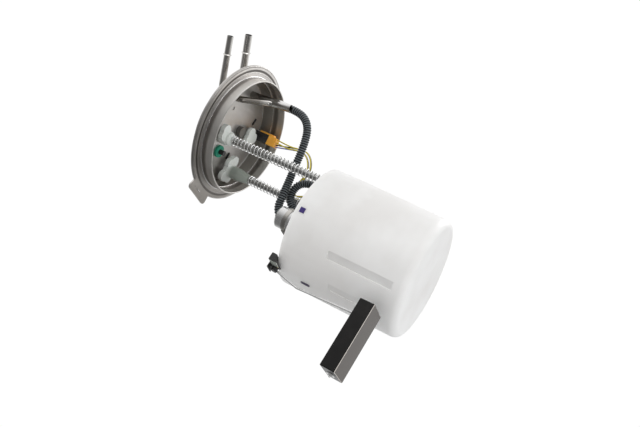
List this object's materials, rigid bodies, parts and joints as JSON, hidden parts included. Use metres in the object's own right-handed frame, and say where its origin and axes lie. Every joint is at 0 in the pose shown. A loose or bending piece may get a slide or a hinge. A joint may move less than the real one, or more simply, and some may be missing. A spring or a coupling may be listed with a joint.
{
  "type": "fuel pump module",
  "caption": "In-tank fuel pump module: steel tank cover with tubes on two sprung guide rods over a translucent reservoir that holds the pump, with a float level sender.",
  "frame": {"origin": "on the tank cover's axis, in the plane where its lip seats on the tank", "axes": "+Z out of the tank along the cover's axis; +X towards the outer ends of the two fuel tubes, +Y away from the sender's float"},
  "size_m": [0.2659, 0.168, 0.2834],
  "materials": {
    "cover_steel": "satin zinc-nickel plated sheet steel",
    "tube_steel": "drawn steel tube, satin",
    "ferrule_steel": "bright crimped sleeve",
    "spring_steel": "bright spring wire",
    "rod_steel": "ground steel rod",
    "white_plastic": "translucent natural acetal",
    "cup_plastic": "milky translucent acetal",
    "black_plastic": "glass-filled nylon, satin black",
    "yellow_plastic": "yellow moulded plastic",
    "green_rubber": "green rubber grommet",
    "black_rubber": "black rubber",
    "hose_plastic": "black corrugated nylon hose",
    "wire_yellow": "wire insulation",
    "wire_black": "wire insulation",
    "wire_purple": "wire insulation",
    "purple_plastic": "purple locking pins",
    "chrome_can": "bright drawn can",
    "pump_steel": "pump case steel",
    "magnet": "ferrite magnet",
    "copper_core": "wound armature and commutator",
    "strainer_mesh": "nylon mesh sock",
    "card_ceramic": "printed resistor card",
    "foam": "closed-cell float foam",
    "brass_leaf": "contact leaf and blades"
  },
  "bodies": {
    "reservoir": {"reservoir": "cup_plastic", "wall_plug": "black_plastic", "reservoir_lid": "cup_plastic", "lid_pins": "purple_plastic", "guide_bush_a": "white_plastic", "guide_bush_b": "white_plastic", "spring_a": "spring_steel", "spring_b": "spring_steel", "main_hose": "hose_plastic", "jet_hose": "hose_plastic", "wire_yellow_a": "wire_yellow", "wire_yellow_b": "wire_yellow", "wire_black": "wire_black", "wire_purple": "wire_purple", "pressure_regulator": "chrome_can", "regulator_bracket": "tube_steel", "pump_connector": "black_plastic", "pump_case": "pump_steel", "pump_top_cap": "black_plastic", "pump_inlet_cover": "black_plastic", "pump_chamber": "black_plastic", "pump_magnets": "magnet", "outlet_coupler": "hose_plastic", "pump_isolator": "black_rubber", "pump_cradle": "white_plastic", "strainer": "strainer_mesh", "jet_pump": "black_plastic", "jet_tube": "white_plastic", "sender_housing": "black_plastic", "resistor_card": "card_ceramic", "sender_cover": "black_plastic"},
    "cover": {"flange_ring": "cover_steel", "cover_pan": "cover_steel", "weld_boss": "tube_steel", "slot_plugs": "black_rubber", "supply_tube": "tube_steel", "vapour_tube": "tube_steel", "supply_ferrule": "ferrule_steel", "vapour_sleeve": "ferrule_steel", "electrical_header": "black_plastic", "header_pins": "brass_leaf", "harness_plug": "black_plastic", "harness_lock": "yellow_plastic", "harness_clip": "white_plastic", "sensor_seal": "green_rubber", "pressure_sensor": "black_plastic", "rod_retainer_a": "white_plastic", "rod_retainer_b": "white_plastic", "guide_rod_a": "rod_steel", "guide_rod_b": "rod_steel", "rod_clips": "spring_steel"},
    "rotor": {"pump_shaft": "rod_steel", "armature": "copper_core", "impeller": "black_plastic"},
    "arm": {"arm_hub": "black_plastic", "wiper": "brass_leaf", "float_arm": "spring_steel", "push_nut": "spring_steel"},
    "float": {"float_block": "foam"}
  },
  "joints": [
    {"name": "cover_slide", "type": "slide", "parent": "reservoir", "child": "cover", "axis": [0, 0, -1], "range_m": [0, 0.05], "stiffness_N_per_m": 500, "springref_m": -0.03, "deforming": ["spring_a", "spring_b", "main_hose", "wire_yellow_a", "wire_yellow_b", "wire_black", "wire_purple"]},
    {"name": "float_arm_swing", "type": "hinge", "parent": "reservoir", "child": "arm", "pos_m": [-0.10775, -0.03361, -0.1198], "axis": [-0.9272, -0.3746, 0], "range_deg": [0, 80]},
    {"name": "float_roll", "type": "hinge", "parent": "arm", "child": "float", "pos_m": [-0.10635, -0.05709, -0.2276], "axis": [-0.9272, -0.3746, 0], "range_deg": [-12, 12]},
    {"name": "rotor_spin", "type": "hinge", "parent": "reservoir", "child": "rotor", "pos_m": [-0.07, 0, -0.19], "axis": [0, 0, 1], "continuous": true}
  ]
}
